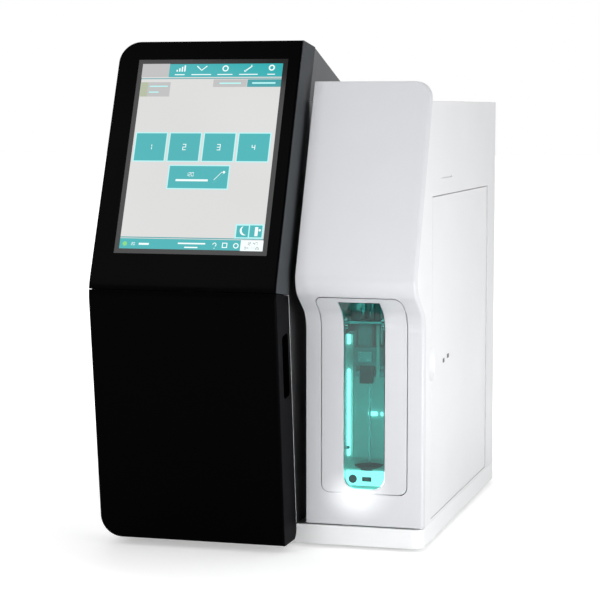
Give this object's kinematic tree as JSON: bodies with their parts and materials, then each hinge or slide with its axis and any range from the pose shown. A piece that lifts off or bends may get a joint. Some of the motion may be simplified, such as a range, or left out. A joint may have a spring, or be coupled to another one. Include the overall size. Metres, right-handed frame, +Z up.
{
  "type": "electrolyte analyzer",
  "caption": "Bench-top electrolyte analyzer with a leaning touch screen, hinged front and side doors, and a tinted sample flap over a rising needle.",
  "frame": {"origin": "centre of the bounding box's underside, on the bench", "axes": "+Z up, the front faces -Y, +X to the right seen from the front"},
  "size_m": [0.264, 0.389, 0.4158],
  "materials": {
    "black_gloss": "high gloss",
    "shoulder_grey": "satin",
    "screen_glass": "glossy",
    "white_shell": "fine satin",
    "tinted_acrylic": "clear tinted",
    "bright_liner": "semi gloss",
    "steel": "brushed",
    "zinc_sheet": "satin",
    "rubber": "matte",
    "dark_plastic": "satin",
    "board_green": "solder mask",
    "pack_body": "satin",
    "electrode_body": "semi clear",
    "roller_white": "satin",
    "clear_tube": "soft clear"
  },
  "bodies": {
    "housing": {"base_tray": "white_shell", "body_shell": "white_shell", "data_ports": "steel", "display_controller": "board_green", "display_housing": "black_gloss", "display_panel": "dark_plastic", "door_hinge_arms": "zinc_sheet", "drain_cup": "dark_plastic", "electrode_1": "electrode_body", "electrode_2": "electrode_body", "electrode_3": "electrode_body", "electrode_4": "electrode_body", "electrode_5": "electrode_body", "electrode_rack": "dark_plastic", "fan_frame": "dark_plastic", "fascia_insert": "white_shell", "feet": "rubber", "flap_rod": "steel", "fluid_bay": "white_shell", "front_fascia": "white_shell", "guide_rods": "steel", "lift_motor": "dark_plastic", "lift_screw": "steel", "main_board": "board_green", "pinch_valves": "dark_plastic", "power_inlet": "dark_plastic", "power_supply": "zinc_sheet", "pump_head": "dark_plastic", "reagent_bay": "white_shell", "reagent_pack": "pack_body", "rear_panel": "white_shell", "sample_shelf": "bright_liner", "sampler_frame": "zinc_sheet", "sampler_liner": "bright_liner", "shoulder_cover": "shoulder_grey", "side_hinge_blocks": "white_shell", "side_hinge_rod": "steel", "switch_frame": "dark_plastic", "touch_glass": "screen_glass", "waste_tube": "clear_tube"},
    "front_door": {"front_door": "black_gloss", "door_hinge_pins": "steel"},
    "sample_flap": {"sample_flap": "tinted_acrylic"},
    "probe_carriage": {"probe_carriage": "dark_plastic", "sampling_needle": "steel"},
    "side_door": {"side_door": "white_shell"},
    "pump_rotor": {"pump_rotor": "steel"},
    "pump_roller_1": {"pump_roller_1": "roller_white"},
    "pump_roller_2": {"pump_roller_2": "roller_white"},
    "pump_roller_3": {"pump_roller_3": "roller_white"},
    "fan_rotor": {"fan_rotor": "dark_plastic"},
    "power_rocker": {"power_rocker": "dark_plastic"}
  },
  "joints": [
    {"name": "front_door_hinge", "type": "hinge", "parent": "housing", "child": "front_door", "pos_m": [-0.125, -0.16625, 0.2155], "axis": [0, 0.1201, -0.9928], "range_deg": [0, 100]},
    {"name": "sample_flap_hinge", "type": "hinge", "parent": "housing", "child": "sample_flap", "pos_m": [0.0824, -0.1236, 0.187], "axis": [-1, 0, 0], "range_deg": [0, 55]},
    {"name": "probe_lift", "type": "slide", "parent": "housing", "child": "probe_carriage", "axis": [0, 0, 1], "range_m": [0, 0.045]},
    {"name": "side_door_hinge", "type": "hinge", "parent": "housing", "child": "side_door", "pos_m": [0.126, 0.149, 0.15], "axis": [0, 0, 1], "range_deg": [0, 100]},
    {"name": "pump_spin", "type": "hinge", "parent": "housing", "child": "pump_rotor", "pos_m": [-0.072, -0.0735, 0.06744], "axis": [0, 1, 0], "continuous": true},
    {"name": "roller_1_spin", "type": "hinge", "parent": "pump_rotor", "child": "pump_roller_1", "pos_m": [-0.072, -0.0735, 0.07994], "axis": [0, 1, 0], "continuous": true},
    {"name": "roller_2_spin", "type": "hinge", "parent": "pump_rotor", "child": "pump_roller_2", "pos_m": [-0.06118, -0.0735, 0.06119], "axis": [0, 1, 0], "continuous": true},
    {"name": "roller_3_spin", "type": "hinge", "parent": "pump_rotor", "child": "pump_roller_3", "pos_m": [-0.08282, -0.0735, 0.06119], "axis": [0, 1, 0], "continuous": true},
    {"name": "fan_spin", "type": "hinge", "parent": "housing", "child": "fan_rotor", "pos_m": [-0.062, 0.1815, 0.262], "axis": [0, 1, 0], "continuous": true},
    {"name": "power_switch_rock", "type": "hinge", "parent": "housing", "child": "power_rocker", "pos_m": [-0.042, 0.1875, 0.06], "axis": [1, 0, 0], "range_deg": [0, 14]}
  ],
  "couplings": [
    {"joint": "roller_1_spin", "follows": "pump_spin", "ratio": -3.7778},
    {"joint": "roller_2_spin", "follows": "pump_spin", "ratio": -3.7778},
    {"joint": "roller_3_spin", "follows": "pump_spin", "ratio": -3.7778}
  ]
}
